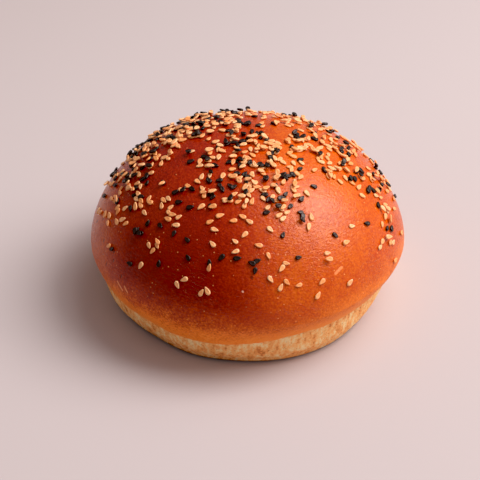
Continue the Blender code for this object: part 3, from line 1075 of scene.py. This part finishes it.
# %% [markdown]
# The points only need to be near the crust, because the tree drops them onto it. Each one carries
# its seed's tip direction, size and layer. The pale and the black seeds are two pieces, as each
# kind has its own finish, and the black ones are a little smaller.

# %% Lay the seeds
def note_numbers(mesh, name, numbers):
    """Gives each point of the mesh its own number."""
    mesh.attributes.new(name, "FLOAT", "POINT").data.foreach_set("value", numbers)


def note_directions(mesh, name, directions):
    """Gives each point of the mesh its own direction."""
    parts = [part for direction in directions for part in direction]
    mesh.attributes.new(name, "FLOAT_VECTOR", "POINT").data.foreach_set("vector", parts)


def point_cloud(name, seeds):
    """Loose points above the bread, each with what the tree needs to lay its seed."""
    mesh = bpy.data.meshes.new(name)
    spots = []
    for x, y, *_ in seeds:
        spots.append(misshapen(Vector((x, y, dome_height(math.hypot(x, y) / BUN_RADIUS)))))
    mesh.from_pydata(spots, [], [])
    note_directions(mesh, "tip", [(math.cos(seed[2]), math.sin(seed[2]), 0.0) for seed in seeds])
    note_numbers(mesh, "size", [seed[3] for seed in seeds])
    note_numbers(mesh, "layer", [seed[5] for seed in seeds])
    cloud = bpy.data.objects.new(name, mesh)
    bpy.context.scene.collection.objects.link(cloud)
    return cloud


def lay_seeds(name, black, finish, random_seed, choices):
    """One piece with every seed of one kind."""
    piece = point_cloud(name, [seed for seed in sprinkle if seed[4] == black])
    count = len(piece.data.vertices)
    common = {"Crust": crust, "Seed": one_seed, "Finish": finish, "Random seed": random_seed}
    grow(piece, laying_tree, {**common, **choices})
    piece.data.shade_smooth()
    print(name, "has", count, "seeds and", len(piece.data.polygons), "faces")
    return piece


pale_seeds = lay_seeds("seeds_pale", False, pale_sesame, 3, {})
black_sizes = {"Seed length": 2.75 * MM, "Seed width": 1.56 * MM, "Seed thickness": 1.05 * MM}
black_seeds = lay_seeds("seeds_black", True, black_sesame, 5, black_sizes)
bpy.data.objects.remove(one_seed)

# %% [markdown]
# The three pieces stand for the one solid of the bun, and move with it.

# %% Tie the pieces to the solid
for piece, slot in ((crust, "crust"), (pale_seeds, "pale_seeds"), (black_seeds, "black_seeds")):
    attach(piece, "root")
    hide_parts("bun")
    print(piece.name, "takes the slot", slot)

# %% [markdown]
# A wide, pale pink surface runs out of the picture on all sides. It is part of the studio and not of the
# bun.

# %% The surface below
FLOOR_SIZE = 6.0
FLOOR_COLOUR = (0.56, 0.488, 0.51)
# FLOOR_SHADED is painted shade: the floor darkens towards the back left as if the light fell off there.
FLOOR_SHADED = (0.455, 0.385, 0.395)
FLOOR_FADES = (60 * MM, 420 * MM)  # where, to the back left, it starts to darken and has darkened
FLOOR_ROUGHNESS = 0.9
TO_BACK_LEFT = (-0.4, 0.9)


def make_floor():
    """A pale matt surface, with painted shade that darkens it towards the back left."""
    shape = bmesh.new()
    bmesh.ops.create_grid(shape, x_segments=1, y_segments=1, size=FLOOR_SIZE / 2.0)
    mesh = bpy.data.meshes.new("floor")
    shape.to_mesh(mesh)
    shape.free()
    floor = bpy.data.objects.new("floor", mesh)
    bpy.context.scene.collection.objects.link(floor)
    material, tree, surface, where = new_finish("pale_paper")
    back_left = vector_maths(tree, "DOT_PRODUCT", where, (*TO_BACK_LEFT, 0.0))
    shades = ((0.0, FLOOR_COLOUR), (1.0, FLOOR_SHADED))
    colour = colours(tree, fade(tree, back_left, *FLOOR_FADES), shades)
    feed(tree, surface.inputs["Base Color"], colour)
    surface.inputs["Roughness"].default_value = FLOOR_ROUGHNESS
    mesh.materials.append(material)
    return floor


floor = make_floor()
print("the floor is", FLOOR_SIZE, "m wide")

# %% [markdown]
# A softbox stands to the right of the bun, halfway up. It makes the broad peach sheen on the glaze.
# A wider, weaker one behind it softens the shadow on the left. The rest of the room is dim, with
# faint glows from the ceiling and the walls, which the edges of the dome reflect. The front of the
# dome faces none of them and falls off to a deep red-brown.

# %% Light
# Each softbox: name, azimuth, elevation, distance, size, power
SOFTBOXES = (
    ("key_softbox", 95.0, 49.0, 1.7, 1.05, 23.2),
    ("back_softbox", 118.0, 60.0, 1.7, 1.2, 12.5),
)
SOFTBOX_COLOUR = (1.0, 0.97, 0.92)
ROOM_COLOUR = (1.0, 0.89, 0.82)
ROOM_DIM = 0.04
# Each glow of the room: azimuth, elevation, strength
ROOM_GLOWS = (
    (0.0, 89.0, 0.18),
    (62.0, 16.0, 0.42),
    (-50.0, 48.0, 0.11),
    (-125.0, 12.0, 0.14),
    (125.0, 12.0, 0.30),
)
GLOW_EDGE = 0.1
BLACK_POINT = 0.010


def towards(azimuth, elevation):
    """The direction at these degrees: azimuth 0 is the front, 90 the right."""
    turn, rise = math.radians(azimuth), math.radians(elevation)
    return Vector((math.sin(turn) * math.cos(rise), -math.cos(turn) * math.cos(rise), math.sin(rise)))


def softbox(name, azimuth, elevation, distance, size, power):
    """A square light that faces the bun."""
    direction = towards(azimuth, elevation)
    lamp = bpy.data.lights.new(name, "AREA")
    lamp.size = size
    lamp.energy = power
    lamp.color = SOFTBOX_COLOUR
    light = bpy.data.objects.new(name, lamp)
    light.location = direction * distance
    light.rotation_euler = (-direction).to_track_quat("-Z", "Y").to_euler()
    bpy.context.scene.collection.objects.link(light)
    return light


def dim_room():
    """The soft light of the room: dim, with a few glows."""
    world = bpy.data.worlds.new("studio")
    world.use_nodes = True
    tree = world.node_tree
    way = tree.nodes.new("ShaderNodeTexCoord").outputs["Generated"]
    strength = ROOM_DIM
    for azimuth, elevation, glow in ROOM_GLOWS:
        facing = vector_maths(tree, "DOT_PRODUCT", way, towards(azimuth, elevation))
        strength = total(tree, scaled(tree, fade(tree, facing, GLOW_EDGE, 1.0), glow), strength)
    background = tree.nodes["Background"]
    background.inputs["Color"].default_value = (*ROOM_COLOUR, 1.0)
    feed(tree, background.inputs["Strength"], strength)
    bpy.context.scene.world = world


def develop():
    """Shows colours as they are, apart from a deeper black."""
    view = bpy.context.scene.view_settings
    view.view_transform = "Standard"
    view.use_curve_mapping = True
    view.curve_mapping.black_level = (BLACK_POINT, BLACK_POINT, BLACK_POINT)
    view.curve_mapping.update()


for softbox_setting in SOFTBOXES:
    softbox(*softbox_setting)
dim_room()
develop()
print("the softboxes give", sum(setting[-1] for setting in SOFTBOXES), "W")

# %% [markdown]
# The camera looks down at the bun from the front with a long lens. It aims a little left of and
# below the bun's middle, which leaves room for the shadow.

# %% Camera
CAMERA_ELEVATION = 35.5
CAMERA_DISTANCE = 751.5 * MM
CAMERA_LENS = 154.8
BUN_MIDDLE = Vector((0.0, 0.0, 29.0 * MM))
AIM_LEFT = 2.6 * MM
AIM_DOWN = 8.1 * MM


def make_camera():
    """The photographer's camera."""
    lens = bpy.data.cameras.new("camera")
    lens.lens = CAMERA_LENS
    lens.clip_start = 0.05
    camera = bpy.data.objects.new("camera", lens)
    back = towards(0.0, CAMERA_ELEVATION)
    right = Vector((1.0, 0.0, 0.0))
    up = back.cross(right)
    camera.location = BUN_MIDDLE + back * CAMERA_DISTANCE
    aim = BUN_MIDDLE - right * AIM_LEFT - up * AIM_DOWN
    camera.rotation_euler = (aim - camera.location).to_track_quat("-Z", "Y").to_euler()
    bpy.context.scene.collection.objects.link(camera)
    return camera


bpy.context.scene.camera = make_camera()
print("the camera is", CAMERA_DISTANCE, "m away")
